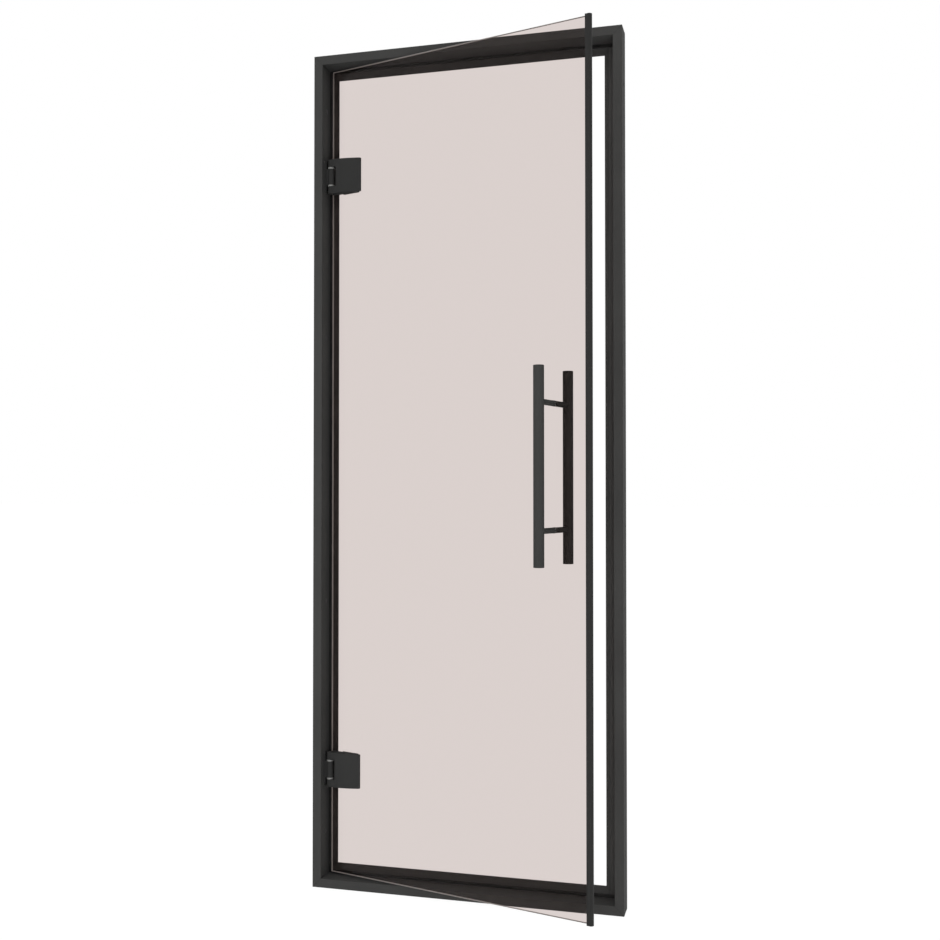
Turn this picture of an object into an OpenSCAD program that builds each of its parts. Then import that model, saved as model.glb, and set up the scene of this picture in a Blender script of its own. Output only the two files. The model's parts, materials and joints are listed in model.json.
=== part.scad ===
// Steam room door: an all-glass leaf on two clamp hinges in a slim rebated aluminium frame.
// X runs along the door's width, Y into the steam room, Z up. The origin is on the wall face
// of the hinge jamb, at the middle of its depth and at floor level. All sizes in millimetres.

/* [Frame] */
// Overall width of the frame
frame_w = 700; // [600:5:1000]
// Overall height of the frame
frame_h = 1880; // [1750:5:2200]
// Depth of the frame, from its outside face to its steam side
frame_d = 52; // [50:1:70]
// Width of the frame's outside face
face_w = 20; // [18:0.5:30]
// Width of the stop lip that stands in from the face
lip_w = 24; // [20:0.5:32]
// Thickness of the stop lip
lip_t = 3; // [2:0.5:5]
// Wall of the hollow frame profile
wall_t = 2; // [1.5:0.25:3]
// Radius on the frame's outer arrises
arris_r = 0.8; // [0.3:0.1:1.8]
// Length of each leg of the corner keys
key_leg = 60; // [45:1:80]

/* [Wall fixings] */
// Diameter of the fixing holes through each jamb
fix_d = 6.5; // [5:0.5:9]
// Distance of the end fixings from the ends of a jamb
fix_end = 120; // [80:5:200]
// Distance between the middle fixings of a jamb
fix_mid_span = 600; // [400:10:900]

/* [Seals] */
// Width of the bulb seals in the rebate
seal_w = 7; // [6:0.5:9]
// Radius of the bulb
bulb_r = 2; // [1.5:0.1:2.2]
// Running gap between the closed leaf and its seals
seal_gap = 0.3; // [0.2:0.1:1]
// Width of the magnetic strip on the closing jamb's stop
strip_w = 9; // [6:0.5:10]
// Thickness of the magnetic strip
strip_t = 1; // [0.6:0.1:1.2]

/* [Leaf] */
// Angle at which the leaf stands open, in degrees
leaf_open = 15; // [2:1:80]
// Thickness of the glass
glass_t = 8; // [6:1:10]
// Ground arris along the edges of the glass
glass_arris = 0.8; // [0.3:0.1:1.5]
// Gap between the glass and the frame at the hinge side
hinge_gap = 5.5; // [5:0.5:8]
// Gap between the glass and the frame at the top and at the bottom
end_gap = 5; // [4:0.5:8]
// Gap between the closing edge and the frame
close_gap = 8.5; // [7:0.5:12]

/* [Closing edge] */
// Width of the closing profile along the leaf
edge_w = 13; // [11:0.5:18]
// Thickness of the closing profile
edge_t = 12; // [11:0.5:14]
// Length of the closing profile beyond the glass at each end
edge_over = 3; // [0:0.5:3.5]

/* [Hinges] */
// Height of the lower hinge above the floor
hinge_low = 261; // [180:1:400]
// Distance of the upper hinge below the frame's top
hinge_top = 272.5; // [180:0.5:400]
// Distance of the hinge axis from the jamb's reveal
axis_in = 13; // [12.5:0.5:18]
// Distance of the glass centre behind the hinge axis
glass_back = 19; // [17:0.5:20]
// Height of each hinge
hinge_h = 78; // [70:1:100]
// Radius of the hinge knuckles
knuckle_r = 7.5; // [7:0.25:9]
// Height of the middle knuckle
mid_knuckle_h = 36.4; // [28:0.2:44]
// Thickness of the bright bearing washers
bearing_t = 3.5; // [2:0.1:4]
// Diameter of the hinge pin
pin_d = 6; // [5:0.5:8]
// Reach of the front clamp plate from the hinge axis
plate_l = 73.5; // [66:0.5:80]
// Thickness of the front clamp plate at its free end
plate_end_t = 3; // [2:0.5:5]
// Radius of the front clamp plate's crowned face
crown_r = 180; // [150:5:300]
// Loss of height of the clamp plates towards their free end, at the top and at the bottom
plate_taper = 0.9; // [0:0.1:4]
// Thickness of the back clamp plate
back_plate_t = 6; // [5:0.5:8]
// Thickness of the soft pads between the plates and the glass
pad_t = 1; // [0.5:0.25:2]
// Diameter of the clamp screws
clamp_d = 8; // [6:1:8]
// Distance between the two clamp screws of a hinge
clamp_span = 44; // [36:1:50]
// Distance of the clamp screws from the hinge axis
clamp_in = 44; // [38:1:50]

/* [Handle] */
// Height of the handle's centre above the floor
handle_z = 940; // [850:5:1100]
// Length of each handle bar
bar_l = 405; // [340:5:600]
// Diameter of the handle bars
bar_d = 22; // [18:0.5:26]
// Wall of the handle bars
bar_wall = 1.5; // [1:0.25:2]
// Distance of each bar's axis from the centre of the glass
bar_off = 71; // [55:1:90]
// Distance between the two posts of a bar
post_span = 260; // [180:5:320]
// Diameter of the posts
post_d = 12; // [12:0.5:15]
// Distance of the handle from the closing edge of the leaf
handle_in = 86; // [60:1:150]
// Thickness of the flat caps on the bar ends
cap_t = 2; // [1.5:0.25:4]
// Chamfer around the caps
cap_bevel = 0.6; // [0.2:0.1:1]

/* [Hidden] */
$fn = 64;
slip = 0.1;
run_fit = 0.05;
through = 1;

// Frame: where its faces lie
front_y = -frame_d/2;
back_y = frame_d/2;
stop_y = back_y - lip_t;

// Seal section: a flat foot with a hollow bulb that stands on it, cut flat where it is glued
foot_t = 1;
bulb_in = 4.8;
bulb_cut = 0.8;
bulb_floor = 0.3;
bulb_h = 2*bulb_r - bulb_cut;
bore_r = bulb_r - bulb_cut - bulb_floor;

// Hinge axis, and the leaf's edges measured from it
axis_x = face_w + axis_in;
axis_y = stop_y - bulb_h - seal_gap - glass_t/2 - glass_back;
glass_start = -(axis_in - hinge_gap);
leaf_end = frame_w - face_w - close_gap - axis_x;
glass_low = face_w + end_gap;
glass_h = frame_h - 2*glass_low;
glass_front = glass_back - glass_t/2;
glass_rear = glass_back + glass_t/2;

// Closing profile: a channel with a round nose
nose_r = edge_t/2;
channel_web = 3;
glass_end = leaf_end - channel_web;
seal_end = close_gap + edge_w + 5;

// Hinge heights and the steps along its axis
upper_z = frame_h - hinge_top;
hinge_z = [hinge_low, upper_z];
bearing_low = mid_knuckle_h/2 + slip;
lug_low = bearing_low + bearing_t + slip;
lug_h = hinge_h/2 - lug_low;
bearing_r = knuckle_r - 0.1;

// Clamp plates
plate_back = glass_front - pad_t;
plate_front = plate_back - plate_end_t;
recess_x = knuckle_r + 9;
crown_sink = 0.3;
rear_plate_y = glass_rear + pad_t;
rear_plate_x = 16;
rear_plate_l = plate_l - 13.5 - rear_plate_x;
rear_plate_h = hinge_h - 4.5;
pad_in = 2;
corner_r = 3;
head_h = 3.5;
head_r = clamp_d/2 + head_h;
clamp_grip = 6;
glass_hole_r = clamp_d/2 + 3;
sleeve_slip = 0.2;

// Bracket on the jamb's reveal
base_t = 3;
base_w = 13;
base_front = axis_y + 2 - base_w/2;
base_h = hinge_h - 3;
web_w = 8;
base_screw_r = 2.5;
base_screw_in = 9;
base_screw_l = 9.5;
base_head_h = 2.3;

// Handle
bar_r = bar_d/2;
post_r = post_d/2;
stud_r = 4;
stud_grip = 12;
handle_x = leaf_end - handle_in;
washer_t = 1;
washer_r = post_r + 0.3;
handle_hole_r = 5.5;
spigot_l = 8;

// Frame profile

// A rectangle from the origin with its four corners rounded by true arcs
module round_rect(w, d, r) {
  translate([r, 0]) square([w - 2*r, d]);
  translate([0, r]) square([w, d - 2*r]);
  for (x = [r, w - r], y = [r, d - r]) translate([x, y]) circle(r);
}

// The extruded section: a hollow box with the stop lip at its steam side
module profile_section() {
  difference() {
    round_rect(face_w, frame_d, arris_r);
    translate([wall_t, wall_t]) square([face_w - 2*wall_t, frame_d - 2*wall_t]);
  }
  translate([face_w - wall_t, frame_d - lip_t]) square([wall_t + lip_w - arris_r, lip_t]);
  translate([face_w + lip_w - arris_r, frame_d - lip_t + arris_r])
    square([arris_r, lip_t - 2*arris_r]);
  for (y = [arris_r, lip_t - arris_r])
    translate([face_w + lip_w - arris_r, frame_d - lip_t + y]) circle(arris_r);
}

// Keeps what lies in front of the two mitre cuts of a member that is len long
module mitred(len, reach) {
  intersection() {
    children();
    translate([0, back_y + through, 0]) rotate([90, 0, 0])
      linear_extrude(frame_d + 2*through)
        polygon([[0, 0], [reach, reach], [reach, len - reach], [0, len]]);
  }
}

// A frame member of length len that stands up from the origin, its lip towards +X
module frame_member(len) {
  mitred(len, face_w + lip_w)
    translate([0, front_y, 0]) linear_extrude(len) profile_section();
}

// Moves what is drawn for the hinge jamb to the other three sides
module at_closing_side() { translate([frame_w, 0, 0]) mirror([1, 0, 0]) children(); }
module at_head() { translate([0, 0, frame_h]) rotate([0, 90, 0]) children(); }
module at_sill() { mirror([0, 0, 1]) rotate([0, 90, 0]) children(); }

module wall_fixing_holes() {
  for (span = [frame_h - 2*fix_end, fix_mid_span], side = [-1, 1])
    translate([-through, 0, frame_h/2 + side*span/2]) rotate([0, 90, 0])
      cylinder(h = face_w + 2*through, d = fix_d);
}

module hinge_jamb() {
  color("#434342") difference() {
    frame_member(frame_h);
    wall_fixing_holes();
    for (z = hinge_z) translate([face_w - wall_t - through, 0, z]) bracket_screw_places()
      cylinder(h = wall_t + 2*through, r = base_screw_r + slip);
  }
}

module closing_jamb() {
  color("#434342") at_closing_side() difference() {
    frame_member(frame_h);
    wall_fixing_holes();
  }
}

module head_rail() { color("#434342") at_head() frame_member(frame_w); }

module sill_rail() { color("#434342") at_sill() frame_member(frame_w); }

// Corner keys: cast angles with pockets, pushed into the chambers before the mitres close
module corner_key() {
  leg_t = face_w - 2*wall_t - 2*slip;
  key_d = frame_d - 2*wall_t - 2*slip;
  rib = 3;
  start = wall_t + slip;
  translate([0, key_d/2, 0]) rotate([90, 0, 0]) difference() {
    linear_extrude(key_d) polygon([
      [start, start], [key_leg, start], [key_leg, start + leg_t],
      [start + leg_t, start + leg_t], [start + leg_t, key_leg], [start, key_leg]]);
    for (side = [0, 1]) mirror([side, -side, 0])
      translate([start + leg_t + rib, start + rib, rib])
        cube([key_leg - start - leg_t - 2*rib, leg_t - 2*rib, key_d]);
  }
}

module corner_keys() {
  color("silver") for (right = [0, 1], top = [0, 1])
    translate([right*frame_w, 0, top*frame_h])
      mirror([right, 0, 0]) mirror([0, 0, top]) corner_key();
}

// Seals

module seal_section() {
  difference() {
    intersection() {
      union() {
        translate([0, -foot_t]) square([seal_w, foot_t]);
        translate([bulb_in, bulb_r - bulb_h]) circle(bulb_r);
      }
      translate([0, -bulb_h]) square([seal_w, bulb_h]);
    }
    translate([bulb_in, bulb_r - bulb_h]) circle(bore_r);
  }
}

// A bulb seal on the stop lip, in the corner of the rebate of a member that is len long
module seal_member(len) {
  mitred(len, face_w + seal_w)
    translate([face_w, stop_y, 0]) linear_extrude(len) seal_section();
}

module hinge_side_seal() { color("#101010") seal_member(frame_h); }

// The head and sill seals lose their bulb behind the closing profile: the foot runs on alone
module cross_seal() {
  foot_start = frame_w - face_w - seal_end;
  intersection() {
    seal_member(frame_w);
    translate([0, front_y, 0]) cube([frame_w, frame_d, foot_start]);
  }
  translate([face_w, stop_y - foot_t, foot_start - through])
    cube([seal_w, foot_t, seal_end + through]);
}

// What the heel of the glass sweeps as the leaf turns: the bulbs are pared away there
module heel_sweep() {
  translate([axis_x, axis_y, -through])
    cylinder(h = frame_h + 2*through, r = norm([glass_start, glass_rear]) + seal_gap);
}

module head_seal() {
  color("#101010") difference() {
    at_head() cross_seal();
    heel_sweep();
  }
}

module sill_seal() {
  color("#101010") difference() {
    at_sill() cross_seal();
    heel_sweep();
  }
}

// The magnetic strip that holds the leaf shut
module magnet_strip() {
  strip_x = frame_w - face_w - close_gap + 2.5 - strip_w;
  low = face_w + seal_w + 1;
  color("#353533") translate([strip_x, stop_y - strip_t, low])
    cube([strip_w, strip_t, frame_h - 2*low]);
}

// Hinges, frame side

// Turns a drill that stands along Z to lie along X, at the two base screws of a bracket
module bracket_screw_places() {
  for (side = [-1, 1])
    translate([0, base_front + base_w/2, side*(base_h/2 - base_screw_in)])
      rotate([0, 90, 0]) children();
}

module bracket_screw() {
  cylinder(h = base_screw_l, r = base_screw_r);
  translate([0, 0, base_screw_l - base_head_h])
    cylinder(h = base_head_h, r1 = base_screw_r, r2 = base_screw_r + base_head_h);
}

module bracket_screws() {
  color("#3a3a39") for (z = hinge_z)
    translate([face_w + base_t - base_screw_l, 0, z]) bracket_screw_places() bracket_screw();
}

// Base plate on the reveal, web and middle knuckle
module hinge_bracket(z) {
  color("#363635") translate([0, 0, z]) difference() {
    union() {
      translate([face_w, base_front, -base_h/2]) rotate([90, 0, 90])
        linear_extrude(base_t) round_rect(base_w, base_h, corner_r);
      translate([face_w + base_t/2, axis_y - web_w/2, -mid_knuckle_h/2])
        cube([axis_in - base_t/2, web_w, mid_knuckle_h]);
      translate([axis_x, axis_y, -mid_knuckle_h/2])
        cylinder(h = mid_knuckle_h, r = knuckle_r);
    }
    translate([axis_x, axis_y, -mid_knuckle_h/2 - through])
      cylinder(h = mid_knuckle_h + 2*through, d = pin_d + 2*run_fit);
    translate([face_w + base_t - base_screw_l, 0, 0]) bracket_screw_places() {
      cylinder(h = base_screw_l + through, r = base_screw_r + slip);
      translate([0, 0, base_screw_l - base_head_h])
        cylinder(h = base_head_h, r1 = base_screw_r + slip, r2 = base_screw_r + base_head_h + slip);
      translate([0, 0, base_screw_l]) cylinder(h = through, r = base_screw_r + base_head_h + slip);
    }
  }
}

module hinge_pin(z) {
  color("silver") translate([axis_x, axis_y, z - hinge_h/2]) cylinder(h = hinge_h, d = pin_d);
}

module hinge_bearings(z) {
  color("#e8e8e6") for (low = [bearing_low, -bearing_low - bearing_t])
    translate([axis_x, axis_y, z + low]) difference() {
      cylinder(h = bearing_t, r = bearing_r);
      translate([0, 0, -through]) cylinder(h = bearing_t + 2*through, d = pin_d + 2*slip);
    }
}

module upper_hinge_bracket() { hinge_bracket(upper_z); }
module lower_hinge_bracket() { hinge_bracket(hinge_low); }
module upper_hinge_pin() { hinge_pin(upper_z); }
module lower_hinge_pin() { hinge_pin(hinge_low); }
module upper_hinge_bearings() { hinge_bearings(upper_z); }
module lower_hinge_bearings() { hinge_bearings(hinge_low); }

// Leaf

// Draws on the leaf: X along the leaf from the hinge axis, Y behind it, turned open
module on_leaf() {
  translate([axis_x, axis_y, 0]) rotate([0, 0, -leaf_open]) children();
}

// Turns what stands along Z to lie through the glass, towards the steam side
module through_glass(x, y, z) { translate([x, y, z]) rotate([-90, 0, 0]) children(); }

module clamp_places(y) {
  for (z = hinge_z, side = [-1, 1])
    through_glass(clamp_in, y, z + side*clamp_span/2) children();
}

module handle_places(y) {
  for (side = [-1, 1]) through_glass(handle_x, y, handle_z + side*post_span/2) children();
}

// A sheet len long and h high in X and Z, its edges ground to arrises
module arrised_sheet(len, t, h, a) {
  intersection() {
    linear_extrude(h) polygon([[a, 0], [len - a, 0], [len, a], [len, t - a],
                               [len - a, t], [a, t], [0, t - a], [0, a]]);
    rotate([90, 0, 90]) linear_extrude(len) polygon([[a, 0], [t - a, 0], [t, a], [t, h - a],
                                                     [t - a, h], [a, h], [0, h - a], [0, a]]);
  }
}

module glass_pane() {
  color([0.30, 0.25, 0.23, 0.45]) on_leaf() difference() {
    translate([glass_start, glass_front, glass_low])
      arrised_sheet(glass_end - glass_start, glass_t, glass_h, glass_arris);
    clamp_places(glass_front - through) cylinder(h = glass_t + 2*through, r = glass_hole_r);
    handle_places(glass_front - through) cylinder(h = glass_t + 2*through, r = handle_hole_r);
  }
}

// The channel clipped over the closing edge, its nose round
module closing_profile() {
  color("#323231") on_leaf() translate([0, glass_back, glass_low - edge_over])
    linear_extrude(glass_h + 2*edge_over) difference() {
      union() {
        translate([leaf_end - edge_w, -edge_t/2]) square([edge_w - nose_r, edge_t]);
        translate([leaf_end - nose_r, 0]) circle(nose_r);
      }
      translate([leaf_end - edge_w - through, -glass_t/2 - slip])
        square([edge_w - channel_web + through + slip, glass_t + 2*slip]);
    }
}

// Hinges, leaf side

// Centre of the crowned face's arc: it runs a little below the knuckle's front and ends at the
// plate's free end
function crown_centre() =
  let (end = [plate_l, plate_front], d = norm(end), e = end/d,
       near = crown_r - knuckle_r + crown_sink,
       a = (near*near - crown_r*crown_r + d*d)/(2*d))
  a*e + sqrt(near*near - a*a)*[-e[1], e[0]];

// Plan section of the front plate from x = from to its free end
module front_plate_section(from) {
  intersection() {
    translate(crown_centre()) circle(crown_r, $fn = 180);
    translate([from, -2*knuckle_r]) square([plate_l - from, plate_back + 2*knuckle_r]);
  }
}

// The same section at the lugs, with the knuckle and its bore
module lug_section() {
  difference() {
    union() {
      front_plate_section(0);
      circle(knuckle_r);
    }
    circle(d = pin_d + 2*run_fit);
  }
}

// Side outline of both clamp plates: level from behind the knuckle to x = from, then lower
// towards the free end
module plate_outline(from, len, h) {
  end_h = h - 2*plate_taper;
  back = -2*knuckle_r;
  translate([0, 2*hinge_h, 0]) rotate([90, 0, 0]) linear_extrude(4*hinge_h)
    polygon([[back, -h/2], [from, -h/2], [from + len, -end_h/2], [from + len, end_h/2],
             [from, h/2], [back, h/2]]);
}

module hinge_front_plate(z) {
  color("#363635") on_leaf() translate([0, 0, z]) difference() {
    intersection() {
      union() {
        translate([0, 0, -hinge_h/2]) linear_extrude(hinge_h) front_plate_section(recess_x);
        for (low = [lug_low, -hinge_h/2]) translate([0, 0, low])
          linear_extrude(lug_h) lug_section();
      }
      plate_outline(recess_x, plate_l - recess_x, hinge_h);
    }
    for (side = [-1, 1])
      through_glass(clamp_in, plate_back - clamp_grip - through, side*clamp_span/2)
        cylinder(h = clamp_grip + 2*through, d = clamp_d + 2*run_fit);
  }
}

module hinge_back_plate(z) {
  color("#363635") on_leaf() translate([0, 0, z]) difference() {
    intersection() {
      translate([rear_plate_x, rear_plate_y + back_plate_t, -rear_plate_h/2]) rotate([90, 0, 0])
        linear_extrude(back_plate_t) round_rect(rear_plate_l, rear_plate_h, corner_r);
      plate_outline(recess_x, plate_l - recess_x, rear_plate_h);
    }
    for (side = [-1, 1]) {
      through_glass(clamp_in, rear_plate_y - through, side*clamp_span/2)
        cylinder(h = back_plate_t + 2*through, d = clamp_d + 2*slip);
      through_glass(clamp_in, rear_plate_y + back_plate_t - head_h, side*clamp_span/2)
        cylinder(h = head_h, r1 = clamp_d/2 + slip, r2 = head_r + slip);
      through_glass(clamp_in, rear_plate_y + back_plate_t, side*clamp_span/2)
        cylinder(h = through, r = head_r + slip);
    }
  }
}

module hinge_pads(z) {
  color("#1c1c1b") on_leaf() for (y = [plate_back, glass_rear]) difference() {
    translate([rear_plate_x + pad_in, y, z - hinge_h/2 + 2*pad_in])
      cube([rear_plate_l - 2*pad_in, pad_t, hinge_h - 4*pad_in]);
    for (side = [-1, 1]) through_glass(clamp_in, y - through, z + side*clamp_span/2)
      cylinder(h = pad_t + 2*through, r = glass_hole_r);
  }
}

module upper_hinge_front_plate() { hinge_front_plate(upper_z); }
module lower_hinge_front_plate() { hinge_front_plate(hinge_low); }
module upper_hinge_back_plate() { hinge_back_plate(upper_z); }
module lower_hinge_back_plate() { hinge_back_plate(hinge_low); }
module upper_hinge_pads() { hinge_pads(upper_z); }
module lower_hinge_pads() { hinge_pads(hinge_low); }

module clamp_sleeves() {
  color("#d8d8d4") on_leaf() clamp_places(plate_back) difference() {
    cylinder(h = glass_t + 2*pad_t, r = glass_hole_r - sleeve_slip);
    translate([0, 0, -through])
      cylinder(h = glass_t + 2*pad_t + 2*through, d = clamp_d + 2*sleeve_slip);
  }
}

module clamp_screws() {
  shank = clamp_grip + glass_t + 2*pad_t + back_plate_t;
  socket_r = 2.5;
  color("silver") on_leaf() clamp_places(plate_back - clamp_grip) difference() {
    union() {
      cylinder(h = shank, d = clamp_d);
      translate([0, 0, shank - head_h]) cylinder(h = head_h, r1 = clamp_d/2, r2 = head_r);
    }
    translate([0, 0, shank - head_h]) cylinder(h = head_h + through, r = socket_r, $fn = 6);
  }
}

// Handle

module handle_bar(y) {
  color("#3b3b3a") on_leaf() translate([handle_x, y, handle_z - bar_l/2 + cap_t])
    difference() {
      cylinder(h = bar_l - 2*cap_t, r = bar_r);
      translate([0, 0, -through])
        cylinder(h = bar_l + 2*through, r = bar_r - bar_wall);
    }
}

module bar_cap() {
  cylinder(h = cap_bevel, r1 = bar_r - cap_bevel, r2 = bar_r);
  translate([0, 0, cap_bevel]) cylinder(h = cap_t - cap_bevel, r = bar_r);
  translate([0, 0, cap_t]) cylinder(h = spigot_l, r = bar_r - bar_wall - slip);
}

module bar_caps(y) {
  color("#3b3b3a") on_leaf() for (top = [0, 1])
    translate([handle_x, y, handle_z - bar_l/2 + top*bar_l]) mirror([0, 0, top]) bar_cap();
}

// Posts from a washer on the glass to a saddle on the bar; side is -1 outside, 1 inside
module handle_posts(side) {
  foot = glass_t/2 + washer_t;
  color("#3b3b3a") on_leaf() for (up = [-1, 1]) difference() {
    translate([handle_x, glass_back, handle_z + up*post_span/2]) rotate([-90*side, 0, 0])
      translate([0, 0, foot]) difference() {
        cylinder(h = bar_off - foot, r = post_r);
        translate([0, 0, -through]) cylinder(h = stud_grip + 2*through, r = stud_r + slip);
      }
    translate([handle_x, glass_back + side*bar_off, handle_z - bar_l/2])
      cylinder(h = bar_l, r = bar_r + run_fit);
  }
}

module handle_studs() {
  len = glass_t + 2*washer_t + 2*stud_grip;
  color("silver") on_leaf() handle_places(glass_back - len/2) cylinder(h = len, r = stud_r);
}

module handle_washers() {
  color("#d8d8d4") on_leaf() for (y = [glass_front - washer_t, glass_rear]) handle_places(y)
    difference() {
      cylinder(h = washer_t, r = washer_r);
      translate([0, 0, -through])
        cylinder(h = washer_t + 2*through, r = stud_r + sleeve_slip);
    }
}

module handle_sleeves() {
  color("#d8d8d4") on_leaf() handle_places(glass_front) difference() {
    cylinder(h = glass_t, r = handle_hole_r - sleeve_slip);
    translate([0, 0, -through]) cylinder(h = glass_t + 2*through, r = stud_r + sleeve_slip);
  }
}

module outer_handle_bar() { handle_bar(glass_back - bar_off); }
module inner_handle_bar() { handle_bar(glass_back + bar_off); }
module outer_bar_caps() { bar_caps(glass_back - bar_off); }
module inner_bar_caps() { bar_caps(glass_back + bar_off); }
module outer_handle_posts() { handle_posts(-1); }
module inner_handle_posts() { handle_posts(1); }

hinge_jamb();
closing_jamb();
head_rail();
sill_rail();
corner_keys();
hinge_side_seal();
head_seal();
sill_seal();
magnet_strip();
upper_hinge_bracket();
lower_hinge_bracket();
upper_hinge_pin();
lower_hinge_pin();
upper_hinge_bearings();
lower_hinge_bearings();
bracket_screws();
glass_pane();
closing_profile();
upper_hinge_front_plate();
lower_hinge_front_plate();
upper_hinge_back_plate();
lower_hinge_back_plate();
upper_hinge_pads();
lower_hinge_pads();
clamp_sleeves();
clamp_screws();
outer_handle_bar();
inner_handle_bar();
outer_bar_caps();
inner_bar_caps();
outer_handle_posts();
inner_handle_posts();
handle_studs();
handle_washers();
handle_sleeves();
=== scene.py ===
import json
import math

import bmesh
import bpy
from mathutils import Matrix, Vector


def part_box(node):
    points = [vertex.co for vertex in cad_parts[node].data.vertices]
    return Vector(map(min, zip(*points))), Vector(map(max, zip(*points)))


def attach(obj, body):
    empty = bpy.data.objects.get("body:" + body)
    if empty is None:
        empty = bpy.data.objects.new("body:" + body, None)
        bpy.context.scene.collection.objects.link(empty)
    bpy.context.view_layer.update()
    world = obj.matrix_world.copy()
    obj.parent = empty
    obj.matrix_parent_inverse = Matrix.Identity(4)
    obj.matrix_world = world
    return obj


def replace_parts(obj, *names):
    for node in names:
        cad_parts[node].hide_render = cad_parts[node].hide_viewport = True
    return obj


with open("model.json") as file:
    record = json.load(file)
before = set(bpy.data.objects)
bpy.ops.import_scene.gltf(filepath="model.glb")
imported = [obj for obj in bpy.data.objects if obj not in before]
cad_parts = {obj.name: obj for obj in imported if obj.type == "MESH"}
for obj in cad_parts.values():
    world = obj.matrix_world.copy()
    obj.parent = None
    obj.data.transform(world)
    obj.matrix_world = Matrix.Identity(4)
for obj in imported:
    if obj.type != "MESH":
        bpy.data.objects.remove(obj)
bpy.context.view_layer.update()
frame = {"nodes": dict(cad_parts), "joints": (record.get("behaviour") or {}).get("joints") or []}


# The view
# The camera stands outside, a little to the right of the door and just below half its height, so
# that the open leaf's closing edge comes towards it.
camera_data = bpy.data.cameras.new("view")
camera_data.sensor_width = 36
camera_data.lens = 43.876
camera_data.shift_x = 0.0087
camera_data.clip_end = 200
camera = bpy.data.objects.new("view", camera_data)
camera.location = (1.0007, -2.4431, 0.8912)
camera.rotation_euler = (math.radians(91.034), 0, math.radians(15.106))
bpy.context.collection.objects.link(camera)
bpy.context.scene.camera = camera
bpy.context.scene.view_settings.view_transform = "Standard"


# The studio
# A white surround and a pale floor send out a soft, even light, and soft boxes stand round the
# door. The boxes don't show. The rest shows as the same white, also through the glass or mirrored.
class Tone:
    """A socket in a tree of nodes. Sums and products of tones add the nodes that work them out."""

    def __init__(self, tree, socket=None):
        self.tree = tree
        self.socket = socket

    def node(self, kind, values=None, output=0, **settings):
        """Adds a node and gives its output as a tone. Inputs whose names repeat go by number."""
        made = self.tree.nodes.new(kind)
        for name, value in settings.items():
            setattr(made, name, value)
        for name, value in (values or {}).items():
            socket = made.inputs[name]
            if isinstance(value, Tone):
                self.tree.links.new(value.socket, socket)
            elif isinstance(value, tuple) and len(value) < len(socket.default_value):
                socket.default_value = (*value, 1)
            else:
                socket.default_value = value
        return Tone(self.tree, made.outputs[output] if len(made.outputs) else None)

    def calc(self, operation, a, b):
        return self.node("ShaderNodeMath", {0: a, 1: b}, operation=operation)

    def __add__(self, other):
        return self.calc("ADD", self, other)

    def __radd__(self, other):
        return self.calc("ADD", other, self)

    def __sub__(self, other):
        return self.calc("SUBTRACT", self, other)

    def __rsub__(self, other):
        return self.calc("SUBTRACT", other, self)

    def __mul__(self, other):
        return self.calc("MULTIPLY", self, other)

    def __rmul__(self, other):
        return self.calc("MULTIPLY", other, self)

    def __abs__(self):
        return self.node("ShaderNodeMath", {0: self}, operation="ABSOLUTE")

    def at_most(self, other):
        return self.calc("MINIMUM", self, other)

    def at_least(self, other):
        return self.calc("MAXIMUM", self, other)

    def rise(self, low, high):
        """0 below low and 1 above high, with a soft step between them."""
        values = {"Value": self, "From Min": low, "From Max": high}
        return self.node("ShaderNodeMapRange", values, interpolation_type="SMOOTHSTEP")

    def between(self, first, second):
        """The first colour where this tone is 0 and the second where it is 1."""
        return self.node("ShaderNodeMix", {0: self, 6: first, 7: second}, output=2, data_type="RGBA")


def ray_kinds(start):
    """For each kind of ray that shows the surround, a tone that is 1 for such a ray."""
    return {name: start.node("ShaderNodeLightPath", output=f"Is {name} Ray")
            for name in ("Camera", "Glossy", "Transmission")}


surround = bpy.data.worlds.new("surround")
bpy.context.scene.world = surround
surround.use_nodes = True
surround.node_tree.nodes.clear()
start = Tone(surround.node_tree)
ray = ray_kinds(start)
looked_at = ray["Camera"].at_least(ray["Glossy"]).at_least(ray["Transmission"])
soft_light = (0.59, 0.59, 0.583)
white = (1.0, 1.0, 1.0)
glow = start.node("ShaderNodeBackground", {"Color": looked_at.between(soft_light, white)})
start.node("ShaderNodeOutputWorld", {"Surface": glow})

door_middle = Vector((0.35, 0, 1.0))
soft_boxes = (
    ("front", (-1.2, -4.4, 1.2), 2.4, 25),
    ("left", (-3.6, -1.2, 0.8), 2.0, 12),
    ("above", (0.35, -1.5, 4.6), 2.0, 35),
    ("low", (1.3, -2.2, 0.3), 0.8, 18),
    ("behind", (3.7, 2.6, 1.0), 2.0, 24),
)
for name, place, size, watts in soft_boxes:
    lamp_data = bpy.data.lights.new(name, "AREA")
    lamp_data.shape = "SQUARE"
    lamp_data.size = size
    lamp_data.energy = watts
    lamp = bpy.data.objects.new(name, lamp_data)
    lamp.location = place
    lamp.rotation_euler = (door_middle - lamp.location).to_track_quat("-Z", "Y").to_euler()
    lamp.visible_camera = lamp.visible_glossy = lamp.visible_transmission = False
    bpy.context.collection.objects.link(lamp)

floor_reach, floor_level = 60, -0.001
floor_mesh = bpy.data.meshes.new("studio_floor")
plane = bmesh.new()
bmesh.ops.create_grid(plane, x_segments=1, y_segments=1, size=floor_reach)
bmesh.ops.translate(plane, vec=(0, 0, floor_level), verts=plane.verts)
plane.to_mesh(floor_mesh)
plane.free()
floor = bpy.data.objects.new("studio_floor", floor_mesh)
bpy.context.collection.objects.link(floor)

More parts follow.
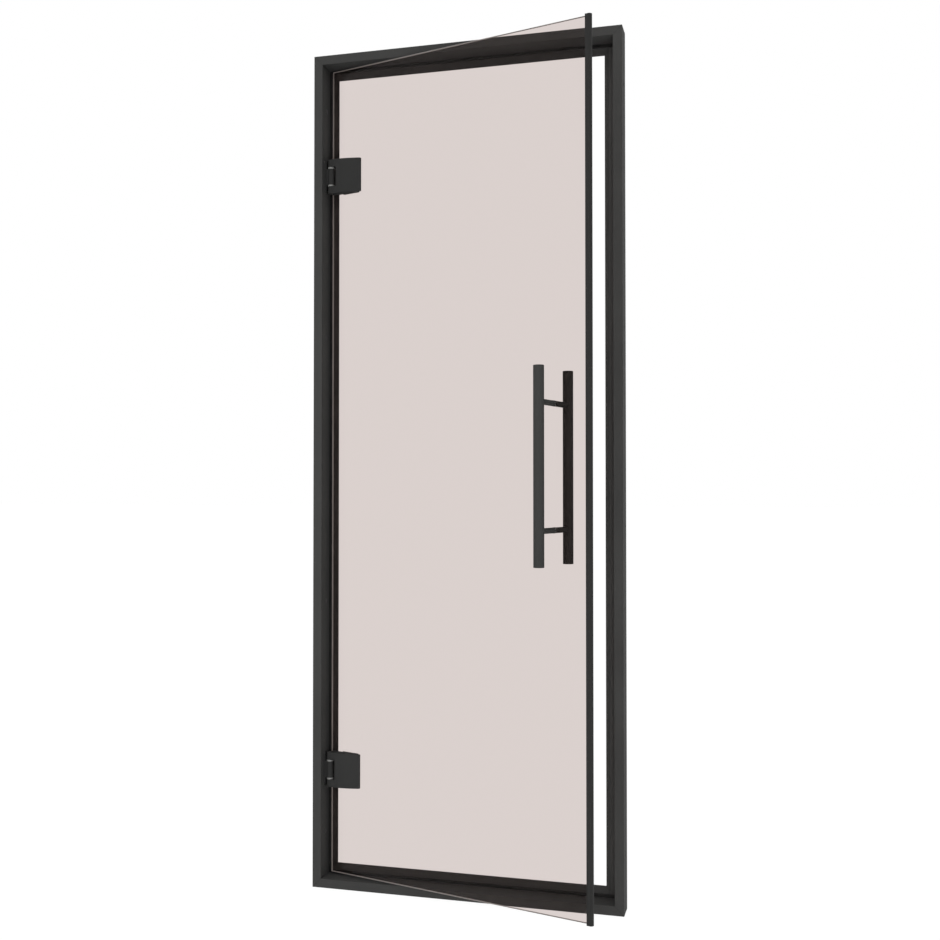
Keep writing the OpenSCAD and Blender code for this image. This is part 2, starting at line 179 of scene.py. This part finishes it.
# The camera sees the floor as white with a faint shadow: its light is raised by as much as the
# matt share falls short of white.
floor_white, floor_lift = 0.88, 0.078
pale = bpy.data.materials.new("pale_floor")
pale.use_nodes = True
pale.node_tree.nodes.clear()
start = Tone(pale.node_tree)
ray = ray_kinds(start)
white_share = (ray["Camera"] * floor_white).at_least(ray["Glossy"]).at_least(ray["Transmission"])
matt = start.node("ShaderNodeBsdfDiffuse", {"Color": (0.86, 0.86, 0.86)})
lit = start.node("ShaderNodeEmission", {"Color": white, "Strength": ray["Camera"] * floor_lift + 1})
shown = start.node("ShaderNodeMixShader", {0: white_share, 1: matt, 2: lit})
start.node("ShaderNodeOutputMaterial", {"Surface": shown})
floor_mesh.materials.append(pale)


# The frame
# Two jambs, a head and a sill cut from one hollow aluminium profile with a stop lip, mitred and
# keyed at the corners, and powder-coated black in a fine texture. The joints are hairlines.
frame_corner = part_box("closing_jamb")[1]
frame_width, frame_height = frame_corner.x, frame_corner.z
joint_half, joint_fade = 0.00008, 0.0003


def finished(name, surface, **plain):
    """A material whose surface(start, place) gives the inputs that change over the piece."""
    material = bpy.data.materials.new(name)
    material.use_nodes = True
    tree = material.node_tree
    tree.nodes.clear()
    start = Tone(tree)
    place = start.node("ShaderNodeTexCoord", output="Object")
    values = {key.replace("_", " "): value for key, value in plain.items()}
    values.update(surface(start, place))
    shader = start.node("ShaderNodeBsdfPrincipled", values)
    start.node("ShaderNodeOutputMaterial", {"Surface": shader})
    return material


def grain(start, place, scale, detail=2.0, roughness=0.5):
    values = {"Vector": place, "Scale": scale, "Detail": detail, "Roughness": roughness}
    return start.node("ShaderNodeTexNoise", values)


def raised(start, height, strength, distance):
    values = {"Height": height, "Strength": strength, "Distance": distance}
    return start.node("ShaderNodeBump", values)


def powder_coat(colour, lighter, grains, gloss):
    """A baked powder coat: fine grains, a faint orange peel and a slightly uneven sheen."""

    def surface(start, place):
        fine = grain(start, place, scale=grains)
        peel = grain(start, place, scale=grains / 6, detail=1.0)
        broad = grain(start, place, scale=4.0, detail=3.0)
        speck = 0.6 * fine.rise(0.35, 0.75) + 0.4 * broad.rise(0.3, 0.7)
        return {
            "Base Color": speck.between(colour, lighter),
            "Roughness": gloss + 0.16 * (peel - 0.5) + 0.08 * (broad - 0.5),
            "Normal": raised(start, 0.7 * fine + 0.6 * peel, strength=0.6, distance=0.0002),
        }

    return surface


def frame_surface(start, place):
    """The coat, and the hairline where two mitred members meet."""
    coat = powder_coat((0.047, 0.047, 0.0462), (0.067, 0.067, 0.0655), grains=1500.0, gloss=0.68)
    inputs = coat(start, place)
    parts = {axis: start.node("ShaderNodeSeparateXYZ", {0: place}, output=axis) for axis in "XZ"}
    from_side = frame_width / 2 - abs(parts["X"] - frame_width / 2)
    from_end = frame_height / 2 - abs(parts["Z"] - frame_height / 2)
    joint = 1 - abs(from_side - from_end).rise(joint_half, joint_fade)
    inputs["Base Color"] = joint.between(inputs["Base Color"], (0.002, 0.002, 0.002))
    return inputs


def clothe(material, *names):
    for name in names:
        for slot in frame["nodes"][name].material_slots:
            slot.material = material


frame_coat = finished("frame_coat", frame_surface, Specular_IOR_Level=0.04)
clothe(frame_coat, "hinge_jamb", "closing_jamb", "head_rail", "sill_rail")


# Fixing caps
# Small domed plastic caps, black like the frame, pressed into the screw holes in the jambs'
# reveals once the frame is fixed to the wall.
cap_radius, cap_rise, cap_skirt = 0.0055, 0.0011, 0.0003
cap_stem_radius, cap_stem_length, cap_stem_bevel = 0.0031, 0.0045, 0.0005
cap_from_end, cap_span = 0.120, 0.600
cap_heights = (cap_from_end, (frame_height - cap_span) / 2, (frame_height + cap_span) / 2,
               frame_height - cap_from_end)
cap_sides, dome_steps = 32, 6
reveal_in = 0.020
weld = 1e-6
crease = math.radians(35)


def turned(profile, steps):
    """A closed round form about Z, spun from (radius, height) points whose ends lie on the axis."""
    form = bmesh.new()
    points = [form.verts.new((radius, 0, height)) for radius, height in profile]
    edges = [form.edges.new(pair) for pair in zip(points, points[1:])]
    bmesh.ops.spin(form, geom=points + edges, axis=(0, 0, 1), cent=(0, 0, 0),
                   angle=math.tau, steps=steps, use_merge=True)
    bmesh.ops.remove_doubles(form, verts=form.verts, dist=weld)
    bmesh.ops.recalc_face_normals(form, faces=form.faces)
    return form


def put_in(form, mesh, place):
    """Adds a copy of the form to the mesh, with the place applied."""
    both = bmesh.new()
    both.from_mesh(mesh)
    extra = bpy.data.meshes.new("extra")
    form.to_mesh(extra)
    extra.transform(place)
    both.from_mesh(extra)
    bmesh.ops.recalc_face_normals(both, faces=both.faces)
    both.to_mesh(mesh)
    both.free()
    bpy.data.meshes.remove(extra)


def new_piece(name, mesh, material, body):
    piece = bpy.data.objects.new(name, mesh)
    bpy.context.collection.objects.link(piece)
    mesh.materials.append(material)
    mesh.shade_smooth()
    mesh.set_sharp_from_angle(angle=crease)
    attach(piece, body)
    return piece


dome = [(cap_radius * math.sin(turn), cap_skirt + cap_rise * math.cos(turn))
        for turn in (math.radians(90 * step / dome_steps) for step in range(dome_steps + 1))]
stem = [(cap_radius, 0), (cap_stem_radius, 0), (cap_stem_radius, cap_stem_bevel - cap_stem_length),
        (cap_stem_radius - cap_stem_bevel, -cap_stem_length), (0, -cap_stem_length)]
cap = turned(dome + stem, cap_sides)
cap_mesh = bpy.data.meshes.new("fixing_caps")
for height in cap_heights:
    for face_x, turn in ((reveal_in, 90), (frame_width - reveal_in, -90)):
        into_doorway = Matrix.Rotation(math.radians(turn), 4, "Y")
        put_in(cap, cap_mesh, Matrix.Translation((face_x, 0, height)) @ into_doorway)
cap.free()
cap_surface = powder_coat((0.044, 0.044, 0.0435), (0.055, 0.055, 0.054), grains=2600.0, gloss=0.5)
cap_plastic = finished("cap_plastic", cap_surface, Specular_IOR_Level=0.12)
new_piece("fixing_caps", cap_mesh, cap_plastic, "frame")


# Corner keys
# Cast aluminium angles, pushed into the chambers of two members and crimped there before the
# mitre closes. They are left as cast.
def cast_surface(start, place):
    lumps = grain(start, place, scale=420.0, detail=4.0, roughness=0.6)
    stain = grain(start, place, scale=30.0, detail=3.0)
    return {
        "Base Color": stain.rise(0.3, 0.7).between((0.46, 0.46, 0.47), (0.56, 0.56, 0.57)),
        "Roughness": 0.42 + lumps * 0.2,
        "Normal": raised(start, lumps, strength=0.4, distance=0.0002),
    }


clothe(finished("cast_aluminium", cast_surface, Metallic=1.0), "corner_keys")


# Seals
# Black silicone bulb seals on a flat foot, glued in the corner of the rebate. They have the dull,
# slightly dusty skin of extruded rubber.
def rubber_surface(start, place):
    skin = grain(start, place, scale=900.0)
    bloom = grain(start, place, scale=18.0, detail=4.0)
    return {
        "Base Color": bloom.rise(0.35, 0.75).between((0.013, 0.013, 0.013), (0.023, 0.023, 0.0225)),
        "Roughness": 0.62 + skin * 0.18,
        "Normal": raised(start, skin, strength=0.3, distance=0.00006),
    }


seal_rubber = finished("seal_rubber", rubber_surface, Specular_IOR_Level=0.15)
clothe(seal_rubber, "hinge_side_seal", "head_seal", "sill_seal")


# Magnetic strip
# A dark grey plastic-bound magnet glued along the closing jamb's stop, a little paler than the
# frame, with the fine lines of its extrusion along it.
def drawn_plastic(colour, lighter):
    """Extruded plastic, with fine lines along its upright length."""

    def surface(start, place):
        stretched = start.node("ShaderNodeMapping", {"Vector": place, "Scale": (1800.0, 1800.0, 6.0)})
        lines = grain(start, stretched, scale=1.0)
        return {
            "Base Color": lines.rise(0.3, 0.7).between(colour, lighter),
            "Roughness": 0.38 + lines * 0.16,
            "Normal": raised(start, lines, strength=0.25, distance=0.00005),
        }

    return surface


magnet_surface = drawn_plastic((0.060, 0.060, 0.0588), (0.075, 0.075, 0.0735))
magnet_plastic = finished("magnet_plastic", magnet_surface, Specular_IOR_Level=0.08)
clothe(magnet_plastic, "magnet_strip")


# Hinges on the frame
# Each is a cast bracket screwed to the jamb's reveal, coated satin black, with a steel pin through
# its knuckle and a light grey acetal washer above and below it for the leaf to turn on.
hinge_surface = powder_coat((0.029, 0.029, 0.0287), (0.043, 0.043, 0.0423), grains=2200.0, gloss=0.62)
hinge_coat = finished("hinge_coat", hinge_surface, Specular_IOR_Level=0.04)
clothe(hinge_coat, "upper_hinge_bracket", "lower_hinge_bracket")


def turned_surface(colour, lighter, roughness):
    """The fine lines that a lathe leaves, around the upright axis."""

    def surface(start, place):
        squashed = start.node("ShaderNodeMapping", {"Vector": place, "Scale": (60.0, 60.0, 9000.0)})
        lines = grain(start, squashed, scale=1.0)
        return {
            "Base Color": lines.between(colour, lighter),
            "Roughness": roughness + (lines - 0.5) * 0.14,
            "Normal": raised(start, lines, strength=0.2, distance=0.00004),
        }

    return surface


acetal_surface = turned_surface((0.21, 0.21, 0.204), (0.27, 0.27, 0.262), roughness=0.4)
acetal = finished("acetal", acetal_surface, Specular_IOR_Level=0.3)
clothe(acetal, "upper_hinge_bearings", "lower_hinge_bearings")
steel_surface = turned_surface((0.42, 0.42, 0.41), (0.52, 0.52, 0.51), roughness=0.3)
pin_steel = finished("pin_steel", steel_surface, Metallic=1.0)
clothe(pin_steel, "upper_hinge_pin", "lower_hinge_pin")
dark_surface = turned_surface((0.03, 0.03, 0.03), (0.05, 0.05, 0.05), roughness=0.36)
black_steel = finished("black_steel", dark_surface, Metallic=1.0)
clothe(black_steel, "bracket_screws")


# Clamp plates
# Cast plates that grip the glass from both sides on rubber pads, drawn together by steel screws
# from the steam side. Their free corners are rounded and every edge is broken before coating.
corner_radius, broken_edge = 0.0016, 0.0003
corner_steps, edge_steps = 6, 2
end_band = 0.0003
sliver = 2e-6
flat, sharp = math.radians(0.5), math.radians(40)
square_enough = 0.9

# The leaf's own axes start on the hinge axis, with X along the glass. The leaf is drawn open by as
# far as its joint lets it turn back to shut.
swing = frame["joints"][0]
hinge_axis = Vector(swing["pos_m"])
leaf_turn = math.radians(-swing["range_deg"][0])
to_leaf = Matrix.Rotation(leaf_turn, 4, "Z") @ Matrix.Translation(-hinge_axis)


def bevelled(form, edges, width, steps):
    bmesh.ops.bevel(form, geom=edges, offset=width, offset_type="OFFSET", affect="EDGES", segments=steps,
                    profile=0.5, material=-1, clamp_overlap=True)


def sharp_edges(form):
    return [edge for edge in form.edges if edge.is_manifold and edge.calc_face_angle() > sharp]


def through_plate(edge):
    """True for an edge that runs through the plate's thickness, from one face to the other."""
    along = edge.verts[0].co - edge.verts[1].co
    return abs(along.normalized().y) > square_enough


def softened(node, name):
    """The cast shape of a plate, with its free corners rounded and its edges broken."""
    form = bmesh.new()
    form.from_mesh(frame["nodes"][node].data)
    bmesh.ops.remove_doubles(form, verts=form.verts, dist=weld)
    bmesh.ops.dissolve_limit(form, angle_limit=flat, verts=form.verts, edges=form.edges)
    bmesh.ops.transform(form, matrix=to_leaf, verts=form.verts)
    free_end = max(vert.co.x for vert in form.verts)
    corners = [edge for edge in sharp_edges(form) if through_plate(edge)
               and all(vert.co.x > free_end - end_band for vert in edge.verts)]
    bevelled(form, corners, corner_radius, corner_steps)
    bevelled(form, sharp_edges(form), broken_edge, edge_steps)
    bmesh.ops.dissolve_degenerate(form, dist=sliver, edges=form.edges)
    bmesh.ops.triangulate(form, faces=[face for face in form.faces if len(face.verts) > 4])
    bmesh.ops.transform(form, matrix=to_leaf.inverted(), verts=form.verts)
    mesh = bpy.data.meshes.new(name)
    form.to_mesh(mesh)
    form.free()
    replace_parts(new_piece(name, mesh, hinge_coat, "leaf"), node)


for side in ("upper", "lower"):
    softened(f"{side}_hinge_front_plate", f"{side}_front_clamp")
    softened(f"{side}_hinge_back_plate", f"{side}_back_clamp")
clothe(seal_rubber, "upper_hinge_pads", "lower_hinge_pads")
clothe(pin_steel, "clamp_screws")


# Glass
# One sheet of toughened 8 mm glass with a light bronze tint. Its edges are ground to a satin grey
# with small arrises. Light from the lamps comes through it tinted, so the rebate behind it is lit.
tint = (0.704, 0.634, 0.612)
lamp_share = 0.92
ground_in, ground_fade = 0.0009, 0.0001
pane_corners = [to_leaf @ vert.co for vert in frame["nodes"]["glass_pane"].data.vertices]
pane_start = min(corner.x for corner in pane_corners)
pane_low = min(corner.z for corner in pane_corners)
pane_top = max(corner.z for corner in pane_corners)

glass = bpy.data.materials.new("tinted_glass")
glass.use_nodes = True
glass.node_tree.nodes.clear()
start = Tone(glass.node_tree)
clear = start.node("ShaderNodeBsdfPrincipled", {
    "Base Color": tint, "Roughness": 0.0, "IOR": 1.5, "Transmission Weight": 1.0,
    "Specular Tint": (0.05, 0.05, 0.05)})
each_face = tuple(math.sqrt(channel * lamp_share) for channel in tint)
passed = start.node("ShaderNodeBsdfTransparent", {"Color": each_face})
lamp_ray = start.node("ShaderNodeLightPath", output="Is Shadow Ray")
pane = start.node("ShaderNodeMixShader", {0: lamp_ray, 1: clear, 2: passed})

along_leaf = start.node("ShaderNodeMapping", {
    "Vector": start.node("ShaderNodeTexCoord", output="Object"),
    "Location": tuple(to_leaf.translation), "Rotation": (0.0, 0.0, leaf_turn)})
parts = {axis: start.node("ShaderNodeSeparateXYZ", {0: along_leaf}, output=axis) for axis in "XZ"}
from_edge = (parts["X"] - pane_start).at_most(parts["Z"] - pane_low).at_most(pane_top - parts["Z"])
ground = 1 - from_edge.rise(ground_in - ground_fade, ground_in)
frost = grain(start, along_leaf, scale=3000.0)
satin = start.node("ShaderNodeBsdfPrincipled", {
    "Base Color": frost.between((0.33, 0.31, 0.298), (0.46, 0.435, 0.42)),
    "Roughness": 0.45 + frost * 0.15, "Specular IOR Level": 0.3})
sheet = start.node("ShaderNodeMixShader", {0: ground, 1: pane, 2: satin})
start.node("ShaderNodeOutputMaterial", {"Surface": sheet})
clothe(glass, "glass_pane")


# Closing edge
# A round-nosed channel of black plastic, clipped over the closing edge of the glass, with the
# magnet's iron strip inside it.
edge_surface = drawn_plastic((0.0224, 0.0224, 0.022), (0.031, 0.031, 0.0303))
edge_plastic = finished("edge_plastic", edge_surface, Specular_IOR_Level=0.08)
clothe(edge_plastic, "closing_profile")


# Sleeves and washers
# Nylon sleeves keep the screws off the glass, and thin washers of black nylon seat the handle's
# posts on it.
def nylon_surface(start, place):
    cloud = grain(start, place, scale=300.0, detail=3.0)
    return {
        "Base Color": cloud.between((0.041, 0.041, 0.040), (0.058, 0.058, 0.057)),
        "Roughness": 0.4 + cloud * 0.15,
        "Normal": raised(start, cloud, strength=0.2, distance=0.00005),
    }


nylon = finished("nylon", nylon_surface, Specular_IOR_Level=0.2)
clothe(nylon, "clamp_sleeves", "handle_sleeves", "handle_washers")


# Handle
# Back-to-back bar handle: two steel tubes with flat caps, each on two posts that screw together
# on studs through the glass. All that shows of it has a satin black coat.
handle_surface = powder_coat((0.039, 0.039, 0.038), (0.055, 0.055, 0.054), grains=2600.0, gloss=0.58)
handle_coat = finished("handle_coat", handle_surface, Specular_IOR_Level=0.04)
clothe(handle_coat, "outer_handle_bar", "inner_handle_bar", "outer_bar_caps", "inner_bar_caps",
       "outer_handle_posts", "inner_handle_posts")
clothe(pin_steel, "handle_studs")
